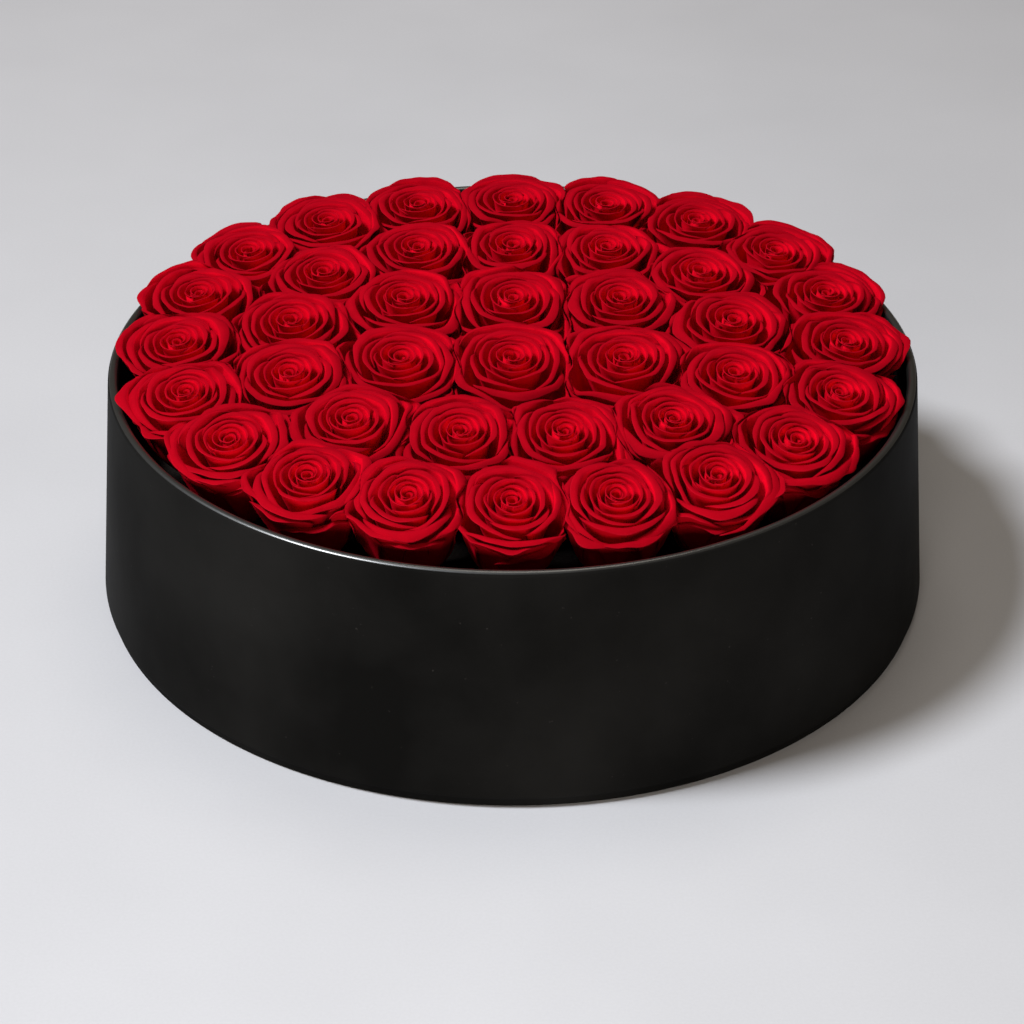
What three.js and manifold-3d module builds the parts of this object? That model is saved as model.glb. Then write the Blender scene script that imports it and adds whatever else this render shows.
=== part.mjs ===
// Preserved red roses standing in a low, round black vase.
// Millimetres, +Z up. The origin is the centre of the circle that the vase stands on.
//
// The vase is one ceramic shell. A disc of dry floral foam lies on its floor, and each
// rose is one piece, a bloom on a short stem that is pushed into a hole in the foam.

import * as THREE from "three";
import { mergeVertices } from "three/addons/utils/BufferGeometryUtils.js";
import Module from "manifold-3d";

const wasm = await Module();
wasm.setup();

// Vase

const BASE_RADIUS = 200;          // widest circle, just above the foot
const RIM_RADIUS = 191;           // outside of the mouth
const VASE_HEIGHT = 116;
const WALL = 5;
const FLOOR = 8;                  // thickness of the bottom
const BASE_ROUNDING = 2;          // radius of the turn from the side into the bottom
const FOOT_HEIGHT = 4;            // of the foot ring's outer face
const FOOT_OUTER = 198.4;
const FOOT_INNER = 176;
const RECESS = 5;                 // how far the bottom inside the foot ring is lifted
const INNER_ROUNDING = 14;        // radius of the turn from the floor into the inner wall
const VASE_SIDES = 72;
const TURN_STEPS = 4;             // straight pieces in each rounded turn of a profile

// Foam

const GAP = 0.3;                  // clearance between pieces that touch
const FOAM_RADIUS = 177;
const FOAM_TOP = 74;
const FOAM_SIDES = 60;

// Roses

const BLOOM_HEIGHT = 46;          // from the top of the stem to the tip of the bud
const WIDEST_BLOOM = 25;          // radius of a bloom with free space round it
const BLOOM_GAP = 0.5;            // between blooms that stand closer than that
const STEM_LENGTH = 34;
const STEM_RADIUS = 2.6;
const ROSE_SIDES = 12;
const HOLE_RADIUS = STEM_RADIUS + 2 * GAP;

// Each ring is counted clockwise seen from above, starting at the back. It is an oval that is
// `across` wide and `deep` long from its middle, and squarer than an ellipse where `squareness`
// is over 2. Its middle lies `forward` of the vase's, and its roses are drawn round towards the
// front by up to `gathered` degrees. Its eyes, which are the bud tips, lie at `rise` above the
// rim, and its roses lean outwards by `lean` degrees. Every rose also leans towards the front
// by FACING degrees.
const RINGS = [
  { count: 20, across: 158, deep: 149, squareness: 2.2, forward: 0, gathered: 2, rise: 12, lean: 6 },
  { count: 13, across: 105, deep: 93, squareness: 3, forward: 4, gathered: 0, rise: 16, lean: 3 },
];
const CENTRE = { columns: 3, rows: 2, pitchAcross: 52, pitchDeep: 60, rise: 17 };
const FACING = 5;

const CERAMIC = { color: 0x1c1b1a, roughness: 0.5, metalness: 0 };
const FOAM = { color: 0x4a3a2a, roughness: 1, metalness: 0 };
const PETALS = { color: 0xb4061a, roughness: 0.85, metalness: 0 };

function named(name, geometry, look) {
  const mesh = new THREE.Mesh(geometry, new THREE.MeshStandardMaterial(look));
  mesh.name = name;
  return mesh;
}

// Points of a quarter turn about (r, z), from one angle in degrees to another.
function turn(r, z, radius, from, to) {
  const points = [];
  for (let step = 0; step <= TURN_STEPS; step++) {
    const angle = THREE.MathUtils.degToRad(from + (to - from) * step / TURN_STEPS);
    points.push(new THREE.Vector2(r + radius * Math.cos(angle), z + radius * Math.sin(angle)));
  }
  return points;
}

// A solid of revolution about +Z from a profile of (radius, height) points.
function revolve(profile, sides) {
  return new THREE.LatheGeometry(profile, sides).rotateX(Math.PI / 2);
}

function vase() {
  const lip = WALL / 2;
  const floor = RECESS + FLOOR;
  const profile = [
    new THREE.Vector2(0, RECESS),
    new THREE.Vector2(FOOT_INNER, RECESS),
    new THREE.Vector2(FOOT_INNER, 0),
    new THREE.Vector2(FOOT_OUTER, 0),
    new THREE.Vector2(FOOT_OUTER, FOOT_HEIGHT),
    ...turn(BASE_RADIUS - BASE_ROUNDING, FOOT_HEIGHT + BASE_ROUNDING, BASE_ROUNDING, -70, 0),
    ...turn(RIM_RADIUS - lip, VASE_HEIGHT - lip, lip, 0, 180),
    ...turn(BASE_RADIUS - WALL - INNER_ROUNDING, floor + INNER_ROUNDING, INNER_ROUNDING, 0, -90),
    new THREE.Vector2(0, floor),
  ];
  return named("vase", revolve(profile, VASE_SIDES), CERAMIC);
}

// How far a ring's oval reaches from its middle towards an angle.
function reach(ring, angle) {
  const across = Math.abs(Math.cos(angle) / ring.across) ** ring.squareness;
  const deep = Math.abs(Math.sin(angle) / ring.deep) ** ring.squareness;
  return (across + deep) ** (-1 / ring.squareness);
}

// The way a rose points that leans outwards by so many degrees, in a horizontal direction.
function axis(outward, lean) {
  const sideways = outward.clone().multiplyScalar(Math.tan(THREE.MathUtils.degToRad(lean)));
  sideways.y -= Math.tan(THREE.MathUtils.degToRad(FACING));
  sideways.z = 1;
  return sideways.normalize();
}

// Where each rose stands: its eye, and the way it leans.
function places() {
  const found = [];
  for (const ring of RINGS) {
    for (let index = 0; index < ring.count; index++) {
      const even = Math.PI / 2 - 2 * Math.PI * index / ring.count;
      const angle = even - THREE.MathUtils.degToRad(ring.gathered) * Math.cos(even);
      const outward = new THREE.Vector3(Math.cos(angle), Math.sin(angle), 0);
      const eye = outward.clone().multiplyScalar(reach(ring, angle));
      eye.y -= ring.forward;
      eye.z = VASE_HEIGHT + ring.rise;
      found.push({ eye, axis: axis(outward, ring.lean) });
    }
  }
  for (let row = 0; row < CENTRE.rows; row++) {
    for (let column = 0; column < CENTRE.columns; column++) {
      const eye = new THREE.Vector3(
        (column - (CENTRE.columns - 1) / 2) * CENTRE.pitchAcross,
        ((CENTRE.rows - 1) / 2 - row) * CENTRE.pitchDeep,
        VASE_HEIGHT + CENTRE.rise,
      );
      found.push({ eye, axis: axis(new THREE.Vector3(), 0) });
    }
  }
  return found;
}

// A bloom opens until it nearly meets the nearest one.
function bloomRadius(place, all) {
  const distances = all.filter((other) => other !== place)
    .map((other) => Math.hypot(other.eye.x - place.eye.x, other.eye.y - place.eye.y));
  return Math.min(WIDEST_BLOOM, (Math.min(...distances) - BLOOM_GAP) / 2);
}

// Stands a piece, drawn upright about its own +Z with its eye at BLOOM_HEIGHT, at a rose's place.
function stand(piece, place) {
  piece.quaternion.setFromUnitVectors(new THREE.Vector3(0, 0, 1), place.axis);
  piece.position.copy(place.eye).addScaledVector(place.axis, -BLOOM_HEIGHT);
  return piece;
}

function rose(number, place, radius) {
  const profile = [
    new THREE.Vector2(0, -STEM_LENGTH),
    new THREE.Vector2(STEM_RADIUS, -STEM_LENGTH),
    new THREE.Vector2(STEM_RADIUS, 0),
    new THREE.Vector2(0.5 * radius, 0.2 * BLOOM_HEIGHT),
    new THREE.Vector2(0.9 * radius, 0.57 * BLOOM_HEIGHT),
    new THREE.Vector2(radius, 0.82 * BLOOM_HEIGHT),
    new THREE.Vector2(0.75 * radius, 0.97 * BLOOM_HEIGHT),
    new THREE.Vector2(0, BLOOM_HEIGHT),
  ];
  const name = `rose_${String(number).padStart(2, "0")}`;
  return stand(named(name, revolve(profile, ROSE_SIDES), PETALS), place);
}

// A closed geometry as a solid that can be cut.
function solid(geometry) {
  const bare = geometry.clone();
  bare.deleteAttribute("normal");
  bare.deleteAttribute("uv");
  const merged = mergeVertices(bare);
  return new wasm.Manifold(new wasm.Mesh({
    numProp: 3,
    vertProperties: new Float32Array(merged.attributes.position.array),
    triVerts: new Uint32Array(merged.index.array),
  }));
}

// A solid that has been cut, back as a geometry.
function surface(cut) {
  const mesh = cut.getMesh();
  const geometry = new THREE.BufferGeometry();
  geometry.setAttribute("position", new THREE.BufferAttribute(mesh.vertProperties, mesh.numProp));
  geometry.setIndex(new THREE.BufferAttribute(mesh.triVerts, 1));
  geometry.computeVertexNormals();
  return geometry;
}

// A cylinder about +Z between two heights.
function cylinder(radius, low, high, sides) {
  const geometry = new THREE.CylinderGeometry(radius, radius, high - low, sides);
  return geometry.rotateX(Math.PI / 2).translate(0, 0, (low + high) / 2);
}

// The disc has one blind hole for each stem, along the stem's own axis.
function foam(roses) {
  const bottom = RECESS + FLOOR + GAP;
  let block = solid(cylinder(FOAM_RADIUS, bottom, FOAM_TOP, FOAM_SIDES));
  for (const place of roses) {
    const drill = new THREE.Object3D();
    stand(drill, place).updateMatrix();
    const hole = cylinder(HOLE_RADIUS, -STEM_LENGTH - GAP, BLOOM_HEIGHT, ROSE_SIDES);
    block = block.subtract(solid(hole.applyMatrix4(drill.matrix)));
  }
  return named("foam_disc", surface(block), FOAM);
}

const roses = places();
const arrangement = new THREE.Group();
arrangement.add(vase());
arrangement.add(foam(roses));
roses.forEach((place, index) => {
  arrangement.add(rose(index + 1, place, bloomRadius(place, roses)));
});

export default arrangement;
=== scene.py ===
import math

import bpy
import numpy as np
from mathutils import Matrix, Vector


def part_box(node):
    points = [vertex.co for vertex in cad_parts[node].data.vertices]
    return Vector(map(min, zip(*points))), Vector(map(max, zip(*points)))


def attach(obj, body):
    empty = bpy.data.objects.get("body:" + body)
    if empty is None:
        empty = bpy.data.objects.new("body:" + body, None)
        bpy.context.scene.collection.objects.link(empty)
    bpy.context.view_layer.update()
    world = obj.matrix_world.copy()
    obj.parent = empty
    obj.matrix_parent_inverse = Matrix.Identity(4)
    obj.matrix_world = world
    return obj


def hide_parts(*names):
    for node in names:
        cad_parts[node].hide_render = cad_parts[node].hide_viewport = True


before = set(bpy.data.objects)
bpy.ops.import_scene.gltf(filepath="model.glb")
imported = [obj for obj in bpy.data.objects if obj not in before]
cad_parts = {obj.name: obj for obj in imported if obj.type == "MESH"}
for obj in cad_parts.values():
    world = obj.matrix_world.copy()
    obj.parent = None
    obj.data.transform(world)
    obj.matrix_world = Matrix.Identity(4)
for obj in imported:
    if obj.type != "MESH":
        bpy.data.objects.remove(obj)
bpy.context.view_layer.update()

# The looks of preserved red roses in a low black vase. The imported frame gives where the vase,
# the foam and every rose stand. Lengths are in metres, and angles in degrees unless a name
# says otherwise. A rose is drawn upright about its own +Z, with its origin at the top of its
# stem, and then set on its stem's axis.

SEED = 20
MM = 0.001
FULL_TURN = 2 * math.pi

# Vase

RIM_RADIUS = 0.191           # outside of the mouth
WALL = 0.005
BASE_ROUNDING = 0.002        # radius of the turn from the side into the bottom
FOOT_HEIGHT = 0.004          # of the foot ring's outer face
FOOT_OUTER = 0.1984
FOOT_INNER = 0.176
FOOT_EDGE = 0.0005           # how far the foot ring's edges are broken
RECESS = 0.005               # how far the bottom inside the foot ring is lifted
RECESS_EDGE = 0.001          # how far its corner with the foot ring is filled
FLOOR_THICKNESS = 0.008
INNER_ROUNDING = 0.014       # radius of the turn from the floor into the inner wall
VASE_SIDES = 256
GLOSSY_LIP = 0.00075         # how far down from its top the rim is glossier than the side

# Roses

HEAD = 0.046                 # from the top of the stem to the eye
STEM = 0.034                 # length below that
STEM_RADIUS = 0.0026
STEM_SIDES = 12
NOD = 5                      # how far a bloom turns from its stem's axis towards the front
WIDEST = 0.029               # radius of a bloom with room all round
FARTHEST = 0.036             # how far a low petal reaches into the gap between two neighbours
OUT_AT_FRONT = 0.0245        # how far a bloom opens towards the rim, at the vase's front
OUT_AT_BACK = 0.0315         # and at its sides and back
DEEPEST = 0.027              # how far a bloom opens towards a rose behind it or before it
CLEARANCE = 0.0001           # that petals are kept from a border, and from the vase's wall
UNEVENNESS = 0.002           # how far the border between two blooms leaves the middle
UNEVEN_WAVES = (230, 170, 300)   # radians of that unevenness for each metre along X, Y and Z
BORDER_BEND = 0.015          # share of the way to a border over which petals bend before it
WALL_BEND = 0.003            # stretch before the vase's wall over which they do
NEAR = 0.08                  # roses closer than this can touch
ROOM_SIDES = 90              # directions in which the room round a bloom is measured
ROOM_ANGLES = np.linspace(0, FULL_TURN, ROOM_SIDES, endpoint=False)
LEAST_FACING = 0.2           # a neighbour bounds the room where the cosine to it is over this

# Petals

HEART = 8                    # petals of the closed middle
BODY = 11                    # open petals round it
GUARDS = 8                   # broad low petals under them
FIRST_OPENING = 4            # the petal from which on they open more and more
GOLDEN_ANGLE = 137.508       # from each petal of the heart and body to the next
UNEVEN_TURN = 12             # how far a petal may stand from its even place
WALL_SHARE = 0.5             # of a petal's rows, below its outward roll
ROLL_START = 80              # slope of a petal at the top of its wall, from level
THICKNESS = 0.00055          # of a petal at its root
HEART_GRID = (15, 13)        # points of a heart petal's sheet, across and along it
OPEN_GRID = (23, 17)         # and of any other petal's

# Sizes along the heart and body, as petal numbers from the eye outwards and values there:
# lip radii and lip heights over the eye in millimetres, and half widths as angles.
LIP_RADII = ([0, 1, 2, 7, 12, 18], [3.2, 4.2, 5.2, 10.6, 17.6, 26.4])
LIP_HEIGHTS = ([0, 1, 2, 4, 8, 14, 18], [-1.8, -1.0, -0.2, 0.2, -0.5, -2.0, -4.2])
HALF_WIDTHS = ([0, 2, 5, 10, 18], [160, 118, 96, 84, 68])

# Camera

CAMERA_DISTANCE = 1.4        # from the aim
CAMERA_PITCH = 31.69         # below level
CAMERA_SIDE = -0.0003        # along X
CAMERA_LENS = 100.3          # on a picture SENSOR wide, both in millimetres
SENSOR = 36.0
AIM_HEIGHT = 0.0286


def smooth(value):
    """A soft step from 0 to 1."""
    value = np.clip(value, 0.0, 1.0)
    return value * value * (3.0 - 2.0 * value)


def linked(name, data):
    """A new object in the scene."""
    piece = bpy.data.objects.new(name, data)
    bpy.context.scene.collection.objects.link(piece)
    return piece


# ---------------------------------------------------------------- places from the frame

def rose_names():
    return sorted(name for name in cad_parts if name.startswith("rose_"))


def stem_axis(name):
    """The top of a rose's stem and the way the stem points, from its CAD solid.

    The solid is round about its axis, so its corners' middle and its foot both lie on it. The
    foot's corners are those within 3 mm of the lowest one."""
    corners = np.array([v.co[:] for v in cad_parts[name].data.vertices])
    corners = np.unique(corners.round(7), axis=0)
    foot = corners[corners[:, 2] < corners[:, 2].min() + 3 * MM].mean(0)
    direction = corners.mean(0) - foot
    direction /= np.linalg.norm(direction)
    length = ((corners - foot) @ direction).max()
    return foot + direction * (length - HEAD), direction


def axis_at(top, direction, heights):
    """The points of a rose's axis at some heights."""
    return top + direction * ((heights - top[2]) / direction[2])


def rim_top():
    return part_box("vase")[1].z


def wall_reach(height):
    """How far from the vase's axis a petal may reach at each height: up to the inner wall,
    round the lip, and freely above it."""
    lip = WALL / 2
    top = rim_top()
    inner = RIM_RADIUS - WALL - CLEARANCE
    over = np.clip(height - (top - lip), 0.0, lip + CLEARANCE)
    round_lip = RIM_RADIUS - lip - np.sqrt(np.maximum((lip + CLEARANCE) ** 2 - over ** 2, 0.0))
    return np.where(height > top + CLEARANCE, RIM_RADIUS + lip, np.maximum(inner, round_lip))


# ---------------------------------------------------------------- room round a bloom

def room_round(own, others):
    """How far a bloom can open in each of the ROOM_ANGLES: up to halfway to the next rose,
    and further into the gap between two neighbours than where there is one or none."""
    ways = np.stack([np.cos(ROOM_ANGLES), np.sin(ROOM_ANGLES)], axis=1)
    eye = own[0] + HEAD * own[1]
    room = np.full(ROOM_SIDES, FARTHEST)
    facings = []
    for top, direction, _ in others:
        apart = (top + HEAD * direction - eye)[:2]
        distance = np.linalg.norm(apart)
        facing = ways @ (apart / distance)
        facings.append(facing)
        deepest = DEEPEST * distance / max(abs(apart[1]), MM)
        half = min(distance / 2, deepest) + UNEVENNESS / 2
        bounded = half / np.maximum(facing, LEAST_FACING)
        room = np.minimum(room, np.where(facing > LEAST_FACING, bounded, FARTHEST))

    # there is a gap where two neighbours lie in nearly the same direction, and elsewhere the
    # room outwards grows from the vase's front to its sides
    second = np.sort(facings, axis=0)[-2]
    gap = smooth((second - 0.1) / 0.5)
    out = np.interp(ways[:, 1], [-0.5, 0.35], [OUT_AT_FRONT, OUT_AT_BACK])
    return np.minimum(room, out + (FARTHEST - out) * gap)


def fitted(room, angle, spread):
    """The scale of a petal that fits the room: the same all round at spread 0, mostly by the
    narrowest room, and following the room at spread 1."""
    here = np.interp(angle % FULL_TURN, ROOM_ANGLES, room, period=FULL_TURN)
    snug = 0.85 * room.min() + 0.15 * room.mean()
    return (snug + (here - snug) * spread) / WIDEST


# ---------------------------------------------------------------- petal shapes

# A petal's shape has these terms:
#   lip_radius, lip_height    how far from the axis and over the stem's top its lip is
#   half_width                the angle about the axis from its middle to its side, in radians
#   root_radius, root_height  where it grows from
#   fullness                  the power of height by which its wall widens: low for a full cup
#   roll_length, roll_angle   the outward roll along its lip, and its bend in radians
#   drop                      how much lower the sides of its lip are than the middle
#   closing                   the share by which the top of its wall leans in over the eye
#   twist                     the share by which one side is farther from the axis
#   point                     the share by which its roll is longer at the middle
#   flatness                  how nearly its lip is straight, seen from above
#   ripple, slant             how far its free edge waves, and one side stands higher
#   spread                    how far it follows the room round the bloom
#   phases                    where the four waves of its ripple start

def inner_petal(number, rng):
    """The shape of a petal of the heart or body, numbered from the eye outwards."""
    radius = np.interp(number, *LIP_RADII)
    height = np.interp(number, *LIP_HEIGHTS)
    half_width = np.interp(number, *HALF_WIDTHS)
    openness = smooth((number - FIRST_OPENING) / (HEART + BODY - 1 - FIRST_OPENING))
    closed = 1.0 - smooth(number / HEART)
    return {
        "lip_radius": radius * MM,
        "lip_height": HEAD + (height + rng.uniform(-1, 1) * (0.2 + 0.9 * openness)) * MM,
        "half_width": math.radians(half_width * rng.uniform(0.85, 1.12)),
        "root_radius": (1.2 + 2.6 * openness) * MM,
        "root_height": (20.0 - 14.0 * openness) * MM,
        "fullness": 0.45 + 0.15 * openness,
        "roll_length": (0.5 + 3.6 * openness * rng.uniform(0.6, 1.2)) * MM,
        "roll_angle": math.radians(50 + 62 * openness * rng.uniform(0.8, 1.2)),
        "drop": (1.6 + 2.8 * openness) * MM,
        "closing": 0.25 * closed,
        "twist": (0.05 + 0.3 * closed ** 2) * rng.uniform(0.7, 1.3),
        "point": 0.5 * openness * rng.uniform(-0.4, 1.0),
        "flatness": 0.3 * openness * rng.uniform(-0.3, 1.0),
        "ripple": (0.12 + 0.4 * openness) * MM,
        "slant": (0.3 + 1.1 * openness) * rng.uniform(-1, 1) * MM,
        "spread": 0.35 * openness,
        "phases": rng.uniform(0, FULL_TURN, 4),
    }


def over_rim(eye, turn):
    """How far a petal stands over the vase's rim at its sides or back, from 0 to 1. It starts
    at 84 % of the rim's radius and is full at 94 %, and there is none at the front, where the
    petal's direction has a Y below -0.5."""
    way = np.array([math.cos(turn), math.sin(turn)])
    reach = np.linalg.norm(eye[:2] + FARTHEST * way)
    near_rim = smooth((reach - 0.84 * RIM_RADIUS) / (0.1 * RIM_RADIUS))
    return near_rim * smooth(2.0 * way[1] + 1.0)


def guard_petal(number, eye, turn, rng):
    """The shape of one of the broad petals that fill the space up to the neighbours. Those
    over the rim stand up. Of the others every second one hangs low, and so do those at the
    bloom's back. Heights before the table are in millimetres."""
    standing = over_rim(eye, turn)
    hanging = number % 2 * rng.uniform(2.0, 6.0) + 3.0 * max(math.sin(turn), 0.0)
    below_eye = rng.uniform(4.0, 7.0) + hanging * (1.0 - standing) - 1.5 * standing
    return {
        "lip_radius": WIDEST - 2.0 * MM,
        "lip_height": HEAD - below_eye * MM,
        "half_width": math.radians(rng.uniform(38, 54)),
        "root_radius": 4.0 * MM,
        "root_height": 3.0 * MM,
        "fullness": 0.34,
        "roll_length": rng.uniform(1.8, 3.6) * MM,
        "roll_angle": math.radians(rng.uniform(70, 120)),
        "drop": 4.0 * MM,
        "closing": 0.0,
        "twist": 0.05 * rng.uniform(-1, 1),
        "point": rng.uniform(0.0, 0.9),
        "flatness": 0.1,
        "ripple": 0.5 * MM,
        "slant": 1.5 * rng.uniform(-1, 1) * MM,
        "spread": 1.0,
        "phases": rng.uniform(0, FULL_TURN, 4),
    }


# ---------------------------------------------------------------- petal meshes

def steps(across, along):
    """A sheet's columns, from -1 at one side to 1 at the other, and its rows, from 0 at the
    root to 1 at the lip."""
    return np.linspace(-1.0, 1.0, across)[None, :], np.linspace(0.0, 1.0, along)[:, None]


def lip_roll(shape, u, rolled):
    """How far out and up a petal's roll reaches from the top of its wall. It turns quickly
    there, and more slowly towards the lip's edge."""
    length = shape["roll_length"] * (1.0 - np.abs(u) ** 2.5) + 0.2 * MM
    length = length * (1.0 + shape["point"] * np.exp(-(u / 0.22) ** 2))
    slope = math.radians(ROLL_START) - shape["roll_angle"] * (1.0 - (1.0 - rolled) ** 2.6)
    step = np.diff(rolled, axis=0, prepend=0.0)
    out = np.cumsum(np.cos(slope) * step, axis=0) * length
    up = np.cumsum(np.sin(slope) * step, axis=0) * length
    return out, up


def ripples(shape, u, t):
    """How far a petal's free edge waves outwards and upwards: two waves of each."""
    first, second, third, fourth = shape["phases"]
    free = smooth((t - 0.35) / 0.65)
    wave = np.sin(2.3 * math.pi * u + first) + 0.5 * np.sin(4.9 * math.pi * u + second)
    lift = np.sin(1.9 * math.pi * u + third) + 0.4 * np.sin(5.3 * math.pi * u + fourth)
    return 0.6 * shape["ripple"] * wave * free, 0.6 * shape["ripple"] * lift * free


def petal_sheet(shape, turn, room, across, along):
    """The petal's middle surface, as points in rows from its root to its lip."""
    u, t = steps(across, along)
    side = np.abs(u)
    rise = np.clip(t / WALL_SHARE, 0.0, 1.0)
    rolled = np.clip((t - WALL_SHARE) / (1.0 - WALL_SHARE), 0.0, 1.0)
    out, up = lip_roll(shape, u, rolled)

    # the root is narrower than the lip, and a lip with much room spreads out and droops
    angle = shape["half_width"] * u * (0.6 + 0.4 * smooth(t * 1.6))
    straight = 1.0 / np.cos(np.clip(np.abs(angle), 0.0, math.radians(55)))
    fit = fitted(room, angle + turn, shape["spread"])
    lip_radius = shape["lip_radius"] * fit * (1.0 + shape["flatness"] * (straight - 1.0))
    droop = 0.3 * np.maximum(lip_radius + 2 * MM - WIDEST, 0.0)
    lip_height = shape["lip_height"] - shape["drop"] * side ** 3 + shape["slant"] * u - droop
    wall_height = lip_height - up.max(axis=0) - shape["root_height"]

    radius = shape["root_radius"] + (lip_radius - shape["root_radius"]) * rise ** shape["fullness"]
    radius = radius * (1.0 - shape["closing"] * rise ** 5) * (1.0 + shape["twist"] * u * rise)
    outwards, upwards = ripples(shape, u, t)
    radius = radius + out + outwards
    height = shape["root_height"] + wall_height * rise + up + upwards
    angle = angle + turn
    return np.stack([radius * np.cos(angle), radius * np.sin(angle), height], axis=-1)


def sheet_normals(points):
    """Unit normals of a grid of points."""
    along = np.gradient(points, axis=0)
    across = np.gradient(points, axis=1)
    normal = np.cross(across, along)
    return normal / np.maximum(np.linalg.norm(normal, axis=-1, keepdims=True), 1e-12)


def sheet_thickness(across, along):
    """How thick a petal is at each point: less towards the lip, and least at its edges."""
    u, t = steps(across, along)
    at_side = smooth((np.abs(u) - 0.85) / 0.15)
    at_lip = smooth((t - 0.88) / 0.12)
    body = THICKNESS - 0.15 * MM * t
    return body * (1.0 - 0.7 * at_side) * (1.0 - 0.6 * at_lip)


def petal_marks(across, along, tone):
    """Three values for the material at each point: nearness to the edge, where the material paints
    a light glow; the share of the way from the root to the lip, by which it paints light and
    shade; and the petal's tone."""
    u, t = steps(across, along)
    at_side = smooth((np.abs(u) - 0.95) / 0.05) * smooth(t * 2.0)
    edge = np.maximum(smooth((t - 0.93) / 0.07), at_side)
    return np.stack([edge, t * np.ones_like(u), np.full_like(edge, tone)], axis=-1)


def grid_faces(across, along, first, flipped):
    """The quads of a grid whose points start at index first."""
    corner = np.arange(along * across).reshape(along, across) + first
    quads = np.stack(
        [corner[:-1, :-1], corner[:-1, 1:], corner[1:, 1:], corner[1:, :-1]], axis=-1
    ).reshape(-1, 4)
    return quads[:, ::-1] if flipped else quads


def border(across, along, first):
    """The indices round a grid's edge, in order."""
    corner = np.arange(along * across).reshape(along, across) + first
    return np.concatenate(
        [corner[0, :-1], corner[:-1, -1], corner[-1, :0:-1], corner[:0:-1, 0]]
    )


def closed_petal(sheet, thickness, first):
    """A thin closed solid round a sheet: its points and quads."""
    along, across = sheet.shape[:2]
    half = sheet_normals(sheet) * thickness[..., None] / 2
    points = np.concatenate([(sheet + half).reshape(-1, 3), (sheet - half).reshape(-1, 3)])
    outer = grid_faces(across, along, first, False)
    inner = grid_faces(across, along, first + along * across, True)
    ring = border(across, along, first)
    other = ring + along * across
    rim = np.stack([np.roll(ring, -1), ring, other, np.roll(other, -1)], axis=-1)
    return points, np.concatenate([outer, inner, rim])


# ---------------------------------------------------------------- roses

def petals_of(eye, rng):
    """The shape of each petal of one rose, and its direction from the axis in degrees. The
    heart and body wind round the eye, and the guards stand evenly under them."""
    start = rng.uniform(0, 360)
    handed = rng.choice([-1, 1])
    petals = []
    for number in range(HEART + BODY):
        wound = handed * GOLDEN_ANGLE * number
        turn = start + wound + rng.uniform(-UNEVEN_TURN, UNEVEN_TURN)
        shape = inner_petal(number, rng)
        shape["twist"] *= handed
        petals.append((shape, turn))
    for number in range(GUARDS):
        turn = start + 360 * number / GUARDS + rng.uniform(-UNEVEN_TURN, UNEVEN_TURN)
        petals.append((guard_petal(number, eye, math.radians(turn), rng), turn))
    return petals


def bloom(room, eye, rng):
    """All petals of one rose that has so much room round it, and its eye at a place: points,
    quads and marks."""
    all_points, all_quads, all_marks = [], [], []
    first = 0
    for number, (shape, turn) in enumerate(petals_of(eye, rng)):
        in_heart = number < HEART
        across, along = HEART_GRID if in_heart else OPEN_GRID
        sheet = petal_sheet(shape, math.radians(turn), room, across, along)
        points, quads = closed_petal(sheet, sheet_thickness(across, along), first)
        tone = 1.0 if in_heart else rng.uniform(0, 0.6)
        marks = petal_marks(across, along, tone).reshape(-1, 3)
        all_points.append(points)
        all_quads.append(quads)
        all_marks.append(np.concatenate([marks, marks]))
        first += len(points)
    return np.concatenate(all_points), np.concatenate(all_quads), np.concatenate(all_marks)


def stem(first):
    """A straight stem that swells into the bloom's green cup: points and quads."""
    profile = [
        (0.0, -STEM),
        (STEM_RADIUS, -STEM),
        (STEM_RADIUS, 0.0),
        (1.6 * STEM_RADIUS, 4 * MM),
        (2.0 * STEM_RADIUS, 8 * MM),
        (0.0, 10 * MM),
    ]
    angles = np.linspace(0, FULL_TURN, STEM_SIDES + 1)
    ring = np.array(profile)
    points = np.stack([
        ring[:, :1] * np.cos(angles),
        ring[:, :1] * np.sin(angles),
        np.repeat(ring[:, 1:], STEM_SIDES + 1, axis=1),
    ], axis=-1)
    return points.reshape(-1, 3), grid_faces(STEM_SIDES + 1, len(profile), first, False)


def nodding(points):
    """Points of a bloom, turned about its eye, the more the higher they are, so that it looks
    a little to the front."""
    angle = math.radians(NOD) * smooth(points[:, 2] / HEAD)
    y, z = points[:, 1], points[:, 2] - HEAD
    turned = points.copy()
    turned[:, 1] = y * np.cos(angle) - z * np.sin(angle)
    turned[:, 2] = HEAD + z * np.cos(angle) + y * np.sin(angle)
    return turned


def upright_to(direction):
    """The rotation that turns +Z to a direction, as a matrix of numbers."""
    return np.array(Vector((0, 0, 1)).rotation_difference(Vector(direction)).to_matrix())


def soft_limit(reach, limit, room):
    """Values bent so that they come near a limit, over the last stretch before it, but never
    pass it."""
    free = limit - room
    bent = free + room * (1.0 - np.exp(-np.maximum(reach - free, 0.0) / room))
    return np.minimum(reach, bent)


def squeezed(points, own, others):
    """Points of one rose, moved back to its side of the borders between it and its neighbours.

    The border's unevenness is taken where a point was at first, which isn't quite the same for
    both roses, so petals of the two may still cross a little."""
    uneven = UNEVENNESS * np.sin(points @ np.array(UNEVEN_WAVES))
    for other_top, other_direction, side in others:
        own_axis = axis_at(*own, points[:, 2:])
        apart = axis_at(other_top, other_direction, points[:, 2:]) - own_axis
        distance = np.linalg.norm(apart, axis=1)
        way = apart / distance[:, None]
        free = distance / 2 + side * uneven - CLEARANCE
        reach = ((points - own_axis) * way).sum(1)
        points = points + way * (soft_limit(reach, free, BORDER_BEND * free) - reach)[:, None]
    return points


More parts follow.
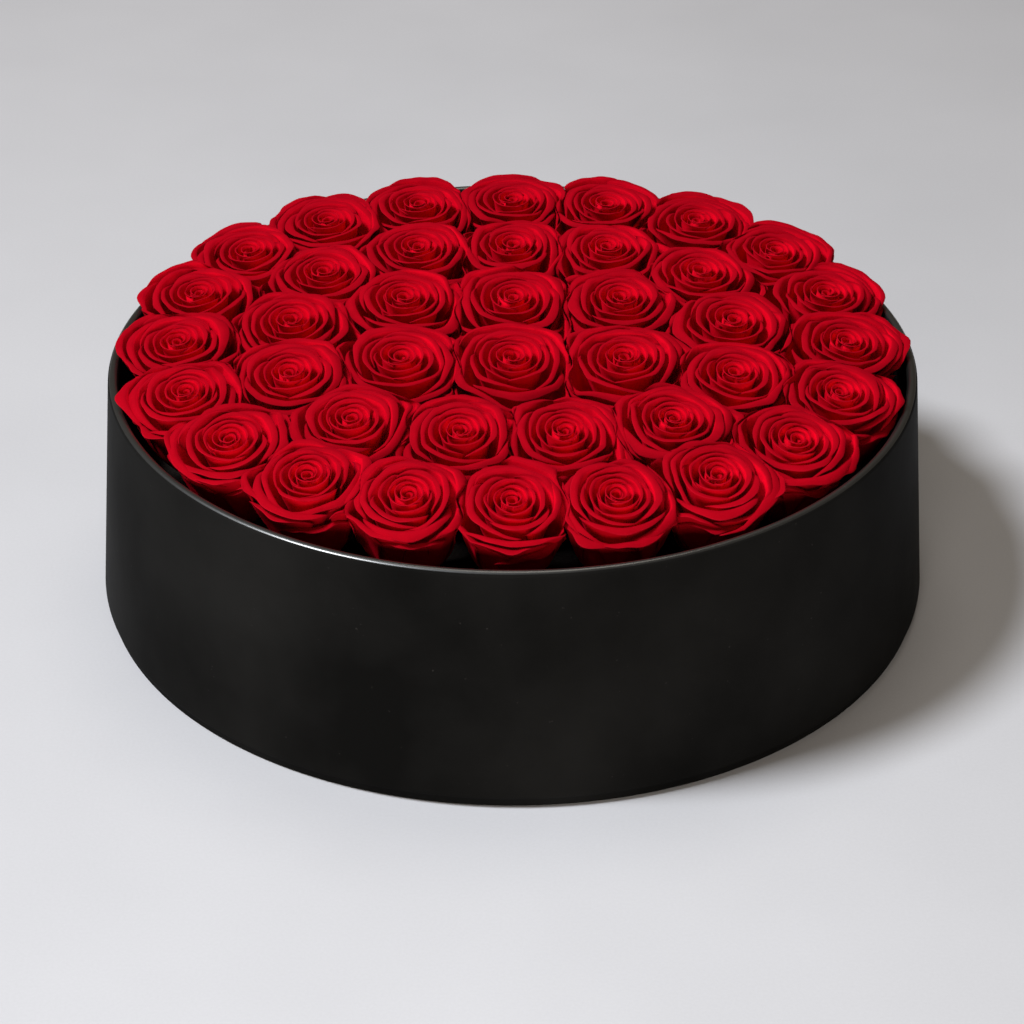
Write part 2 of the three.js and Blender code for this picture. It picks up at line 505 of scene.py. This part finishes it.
def inside_wall(points):
    """Points of a rose, bent in where the vase's wall stands in their way. Between a point
    beside the lip and one over it, a petal may still cut the lip's edge."""
    reach = np.hypot(points[:, 0], points[:, 1])
    bent = soft_limit(reach, wall_reach(points[:, 2]), WALL_BEND)
    share = (bent / np.maximum(reach, MM))[:, None]
    return points * np.concatenate([share, share, np.ones_like(share)], axis=1)


def mesh_object(name, points, quads, materials):
    """A smooth-shaded mesh object from arrays of points and quads."""
    mesh = bpy.data.meshes.new(name)
    mesh.vertices.add(len(points))
    mesh.vertices.foreach_set("co", points.astype(np.float32).ravel())
    mesh.loops.add(quads.size)
    mesh.loops.foreach_set("vertex_index", quads.astype(np.int32).ravel())
    mesh.polygons.add(len(quads))
    mesh.polygons.foreach_set("loop_start", np.arange(0, quads.size, 4, dtype=np.int32))
    mesh.update(calc_edges=True)
    mesh.validate()
    mesh.shade_smooth()
    for material in materials:
        mesh.materials.append(material)
    return linked(name, mesh)


def add_marks(piece, marks):
    """Stores the petals' marks on a mesh, for its material."""
    attribute = piece.data.color_attributes.new("marks", "FLOAT_COLOR", "POINT")
    values = np.concatenate([marks, np.ones((len(marks), 1))], axis=1)
    attribute.data.foreach_set("color", values.astype(np.float32).ravel())


def rose(name, places, materials, rng):
    """One rose: its petals and stem as one mesh, with the stem's faces in its own material.

    Each neighbour comes with the side it sees of their common uneven border, 1 or -1."""
    own = places[name]
    others = [
        (*place, 1 if name < other else -1) for other, place in places.items()
        if other != name and np.linalg.norm(place[0] - own[0]) < NEAR
    ]
    points, quads, marks = bloom(room_round(own, others), own[0] + HEAD * own[1], rng)
    stem_points, stem_quads = stem(len(points))
    points = np.concatenate([nodding(points), stem_points])
    marks = np.concatenate([marks, np.zeros_like(stem_points)])
    points = points @ upright_to(own[1]).T + own[0]
    points = inside_wall(squeezed(points, own, others))
    piece = mesh_object(name + "_bloom", points, np.concatenate([quads, stem_quads]), materials)
    of_stem = np.zeros(len(piece.data.polygons), dtype=np.int32)
    of_stem[len(quads):] = 1
    piece.data.polygons.foreach_set("material_index", of_stem)
    add_marks(piece, marks)
    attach(piece, "root")
    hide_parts(name)


# ---------------------------------------------------------------- vase

def rounded(radius, height, size, start, end, count):
    """Points of a rounded turn about a middle, from one angle to another in so many steps."""
    angles = np.radians(np.linspace(start, end, count + 1))
    return [(radius + size * math.cos(a), height + size * math.sin(a)) for a in angles]


def revolve(name, profile, sides):
    """A solid of revolution about Z from a profile that starts and ends on the axis."""
    ring = np.array(profile[1:-1])
    angles = np.linspace(0, FULL_TURN, sides, endpoint=False)
    x = ring[:, 0, None] * np.cos(angles)
    y = ring[:, 0, None] * np.sin(angles)
    z = np.repeat(ring[:, 1, None], sides, axis=1)
    points = [tuple(p) for p in np.stack([x, y, z], axis=-1).reshape(-1, 3)]
    faces = []
    for row in range(len(ring) - 1):
        for side in range(sides):
            after = (side + 1) % sides
            low, high = row * sides, (row + 1) * sides
            faces.append((low + side, low + after, high + after, high + side))
    bottom, top = len(points), len(points) + 1
    points += [(0, 0, profile[0][1]), (0, 0, profile[-1][1])]
    last = (len(ring) - 1) * sides
    for side in range(sides):
        after = (side + 1) % sides
        faces.append((bottom, after, side))
        faces.append((top, last + side, last + after))
    mesh = bpy.data.meshes.new(name)
    mesh.from_pydata(points, [], faces)
    mesh.shade_smooth()
    return linked(name, mesh)


def vase(side_material, lip_material):
    """The vase's shell, from the middle of its bottom out, up, round the lip and in again."""
    low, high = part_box("vase")
    widest = high.x
    lip = WALL / 2
    floor_top = RECESS + FLOOR_THICKNESS
    profile = [
        (0, RECESS),
        (FOOT_INNER - RECESS_EDGE, RECESS),
        (FOOT_INNER, RECESS - RECESS_EDGE),
        (FOOT_INNER, FOOT_EDGE),
        (FOOT_INNER + FOOT_EDGE, low.z),
        (FOOT_OUTER - FOOT_EDGE, low.z),
        (FOOT_OUTER, FOOT_EDGE),
        (FOOT_OUTER, FOOT_HEIGHT),
        *rounded(widest - BASE_ROUNDING, FOOT_HEIGHT + BASE_ROUNDING, BASE_ROUNDING, -70, 0, 6),
        *rounded(RIM_RADIUS - lip, high.z - lip, lip, 0, 180, 16),
        *rounded(widest - WALL - INNER_ROUNDING, floor_top + INNER_ROUNDING, INNER_ROUNDING,
                 0, -90, 8),
        (0, floor_top),
    ]
    piece = revolve("vase_shell", profile, VASE_SIDES)
    piece.data.materials.append(side_material)
    piece.data.materials.append(lip_material)
    for face in piece.data.polygons:
        face.material_index = int(face.center.z > high.z - GLOSSY_LIP)
    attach(piece, "root")
    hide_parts("vase")


# ---------------------------------------------------------------- materials

def new_material(name):
    """A material, its nodes and links, its shader, and the piece's own coordinates."""
    material = bpy.data.materials.new(name)
    material.use_nodes = True
    nodes = material.node_tree.nodes
    place = nodes.new("ShaderNodeTexCoord").outputs["Object"]
    return material, nodes, material.node_tree.links, nodes["Principled BSDF"], place


def set_inputs(node, values):
    for name, value in values.items():
        node.inputs[name].default_value = value


def grey(value):
    return (value, value, value)


def noise(nodes, links, scale, detail, coordinates):
    """Soft random patches, so many to a metre, with finer ones on them."""
    texture = nodes.new("ShaderNodeTexNoise")
    set_inputs(texture, {"Scale": scale, "Detail": detail})
    links.new(coordinates, texture.inputs["Vector"])
    return texture.outputs["Fac"]


def ramp(nodes, links, factor, stops):
    """A colour ramp: stops are (position, colour) pairs."""
    node = nodes.new("ShaderNodeValToRGB")
    elements = node.color_ramp.elements
    while len(elements) < len(stops):
        elements.new(0.5)
    for element, (position, colour) in zip(elements, stops):
        element.position = position
        element.color = (*colour, 1.0)
    links.new(factor, node.inputs["Fac"])
    return node.outputs["Color"]


def mixed(nodes, links, factor, first, second, blend="MIX"):
    """Two colours mixed by a factor, each of the three a socket or a constant."""
    node = nodes.new("ShaderNodeMix")
    node.data_type = "RGBA"
    node.blend_type = blend
    for socket, value in (("Factor", factor), ("A", first), ("B", second)):
        target = next(i for i in node.inputs if i.name == socket and i.enabled)
        if isinstance(value, bpy.types.NodeSocket):
            links.new(value, target)
        elif socket == "Factor":
            target.default_value = value
        else:
            target.default_value = (*value, 1.0)
    return next(o for o in node.outputs if o.enabled)


def bump(nodes, links, height, strength, distance, shader):
    node = nodes.new("ShaderNodeBump")
    set_inputs(node, {"Strength": strength, "Distance": distance})
    links.new(height, node.inputs["Height"])
    links.new(node.outputs["Normal"], shader.inputs["Normal"])


def petal_material():
    """Deep red velvet. The wall of a petal is painted paler than its roll, as painted light where
    light bounces into the hollows between petals. Its root is painted darker, as painted shade
    deep in the bloom, and its roll darker, as painted shade that damps the roll's lit top. Its
    edges are painted lighter, as painted light shining through the thin edge. Petals differ in
    tone, and each is a little cloudy."""
    material, nodes, links, shader, place = new_material("preserved_petal")
    marks = nodes.new("ShaderNodeVertexColor")
    marks.layer_name = "marks"
    parts = nodes.new("ShaderNodeSeparateColor")
    links.new(marks.outputs["Color"], parts.inputs["Color"])
    edge, height, tone = parts.outputs["Red"], parts.outputs["Green"], parts.outputs["Blue"]

    # painted light and shade by height: pale walls for light in the hollows, a darker root for
    # shade deep in the bloom, a darker roll to damp its lit top
    root, painted_light_low_wall, painted_light_high_wall = (0.55, 0.001, 0.012), (0.80, 0.001, 0.018), (0.78, 0.001, 0.016)
    roll, painted_glow_edge = (0.42, 0.0006, 0.009), (0.46, 0.004, 0.016)
    body = ramp(nodes, links, height, [
        (0.0, root),
        (0.3, painted_light_low_wall),
        (WALL_SHARE, painted_light_high_wall),
        (0.6, roll),
    ])
    cloudy = ramp(nodes, links, noise(nodes, links, 180.0, 3.0, place), [
        (0.3, grey(0.88)),
        (0.7, grey(1.0)),
    ])
    toned = ramp(nodes, links, tone, [
        (0.0, grey(0.84)),
        (0.6, grey(0.94)),
        (1.0, grey(1.0)),
    ])
    body = mixed(nodes, links, 1.0, body, cloudy, "MULTIPLY")
    body = mixed(nodes, links, 1.0, body, toned, "MULTIPLY")
    # painted light: the petal's edges are lighter and pinker, as if light shone through them
    colour = mixed(nodes, links, edge, body, painted_glow_edge)
    links.new(colour, shader.inputs["Base Color"])
    set_inputs(shader, {
        "Roughness": 0.8,
        "Specular IOR Level": 0.02,
        "Sheen Weight": 0.15,
        "Sheen Roughness": 0.5,
        "Sheen Tint": (1.0, 0.0, 0.04, 1.0),
    })
    bump(nodes, links, noise(nodes, links, 900.0, 4.0, place), 0.2, 0.3 * MM, shader)
    return material


def ceramic_material(name, roughness, gloss, coat):
    """Black ceramic with a faintly mottled, slightly uneven surface and a few specks."""
    material, nodes, links, shader, place = new_material(name)
    mottle = ramp(nodes, links, noise(nodes, links, 10.0, 6.0, place), [
        (0.35, (0.0052, 0.0052, 0.0051)),
        (0.7, (0.0134, 0.0134, 0.0132)),
    ])
    specks = ramp(nodes, links, noise(nodes, links, 420.0, 2.0, place), [
        (0.74, grey(0.0)),
        (0.8, grey(1.0)),
    ])
    speck = (0.03, 0.029, 0.028)
    links.new(mixed(nodes, links, specks, mottle, speck), shader.inputs["Base Color"])
    set_inputs(shader, {
        "Roughness": roughness,
        "Specular IOR Level": gloss,
        # painted light: every reflection is tinted cool blue, standing in for a cool lamp
        "Specular Tint": (0.86, 0.93, 1.0, 1.0),
        "Coat Weight": coat,
        "Coat Roughness": 0.26,
        "Coat IOR": 1.7,
    })
    bump(nodes, links, noise(nodes, links, 60.0, 4.0, place), 0.12, 1.5 * MM, shader)
    return material


def stem_material():
    """Dull green, a little patchy."""
    material, nodes, links, shader, place = new_material("rose_stem")
    colour = ramp(nodes, links, noise(nodes, links, 250.0, 3.0, place), [
        (0.3, (0.020, 0.035, 0.010)),
        (0.7, (0.045, 0.070, 0.022)),
    ])
    links.new(colour, shader.inputs["Base Color"])
    set_inputs(shader, {"Roughness": 0.8})
    return material


def foam_material():
    """Dry brown floral foam, finely porous."""
    material, nodes, links, shader, place = new_material("dry_floral_foam")
    pores = nodes.new("ShaderNodeTexVoronoi")
    set_inputs(pores, {"Scale": 700.0})
    links.new(place, pores.inputs["Vector"])
    colour = ramp(nodes, links, pores.outputs["Distance"], [
        (0.0, (0.003, 0.0015, 0.001)),
        (0.5, (0.012, 0.006, 0.004)),
    ])
    links.new(colour, shader.inputs["Base Color"])
    set_inputs(shader, {"Roughness": 0.95})
    bump(nodes, links, pores.outputs["Distance"], 0.6, 0.6 * MM, shader)
    return material


def floor_material():
    """Pale studio paper, painted a little darker to the back and the sides as painted shade, for
    light that falls off away from the lamps, and faintly uneven.
    """
    material, nodes, links, shader, place = new_material("pale_floor")
    parts = nodes.new("ShaderNodeSeparateXYZ")
    links.new(place, parts.inputs["Vector"])
    back = nodes.new("ShaderNodeMapRange")
    set_inputs(back, {"From Min": -0.35, "From Max": 0.75})
    links.new(parts.outputs["Y"], back.inputs["Value"])
    apart = nodes.new("ShaderNodeMath")
    apart.operation = "ABSOLUTE"
    links.new(parts.outputs["X"], apart.inputs[0])

    # painted shade: the paper darkens towards the back, and further down towards the sides, for
    # the light's falloff
    colour = ramp(nodes, links, back.outputs["Result"], [
        (0.0, (0.65, 0.665, 0.712)),
        (1.0, (0.527, 0.530, 0.560)),
    ])
    painted_side_shade = ramp(nodes, links, apart.outputs["Value"], [
        (0.0, grey(1.0)),
        (0.4, grey(0.92)),
    ])
    cloudy = ramp(nodes, links, noise(nodes, links, 9.0, 6.0, place), [
        (0.3, grey(0.96)),
        (0.7, grey(1.0)),
    ])
    grain = ramp(nodes, links, noise(nodes, links, 700.0, 2.0, place), [
        (0.3, grey(0.97)),
        (0.7, grey(1.0)),
    ])
    for shade in (painted_side_shade, cloudy, grain):
        colour = mixed(nodes, links, 1.0, colour, shade, "MULTIPLY")
    links.new(colour, shader.inputs["Base Color"])
    set_inputs(shader, {"Roughness": 0.9, "Specular IOR Level": 0.1})
    return material


# ---------------------------------------------------------------- stage, light and camera

def floor(material):
    size = 6.0
    mesh = bpy.data.meshes.new("floor")
    corners = [(-size, -size, 0), (size, -size, 0), (size, size, 0), (-size, size, 0)]
    mesh.from_pydata(corners, [], [(0, 1, 2, 3)])
    mesh.materials.append(material)
    piece = linked("floor", mesh)


def area_light(name, place, aim, size, power, colour):
    """A round lamp that faces its aim."""
    light = bpy.data.lights.new(name, "AREA")
    light.shape = "DISK"
    light.size = size
    light.energy = power
    light.color = colour
    lamp = linked(name, light)
    lamp.location = place
    lamp.rotation_euler = (Vector(aim) - Vector(place)).to_track_quat("-Z", "Y").to_euler()


def lights():
    """A cool key light high on the left, a weak warm one over the backdrop, a warm one low in
    front, and a little warm light from all round."""
    area_light("key_light", place=(-1.80, -0.40, 3.10), aim=(0, 0, 0.08), size=0.90,
               power=133, colour=(0.97, 0.985, 1.0))
    area_light("top_light", place=(0.1, 0.7, 2.2), aim=(0, 0.5, 0), size=1.1,
               power=8.5, colour=(1.0, 0.92, 0.81))
    area_light("low_light", place=(-0.2, -1.9, 0.32), aim=(0, 0, 0.12), size=0.8,
               power=21, colour=(1.0, 0.90, 0.79))
    world = bpy.data.worlds.new("studio")
    world.use_nodes = True
    background = world.node_tree.nodes["Background"]
    set_inputs(background, {"Color": (1.0, 0.82, 0.60, 1.0), "Strength": 0.10})
    bpy.context.scene.world = world


def camera():
    data = bpy.data.cameras.new("camera")
    data.lens = CAMERA_LENS
    data.sensor_width = SENSOR
    data.clip_start = 0.01
    piece = linked("camera", data)
    pitch = math.radians(CAMERA_PITCH)
    piece.location = (
        CAMERA_SIDE,
        -CAMERA_DISTANCE * math.cos(pitch),
        AIM_HEIGHT + CAMERA_DISTANCE * math.sin(pitch),
    )
    piece.rotation_euler = (math.pi / 2 - pitch, 0, 0)
    bpy.context.scene.camera = piece


# ---------------------------------------------------------------- the whole

def build():
    camera()
    lights()
    floor(floor_material())
    vase(
        ceramic_material("satin_black_ceramic", roughness=0.5, gloss=0.006, coat=0.0),
        ceramic_material("glossy_black_lip", roughness=0.42, gloss=0.5, coat=0.8),
    )
    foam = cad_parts["foam_disc"]
    foam.data.materials.clear()
    foam.data.materials.append(foam_material())
    flower = [petal_material(), stem_material()]
    places = {name: stem_axis(name) for name in rose_names()}
    for number, name in enumerate(places):
        rose(name, places, flower, np.random.default_rng(SEED + number))
    bpy.context.scene.view_settings.view_transform = "Standard"


build()
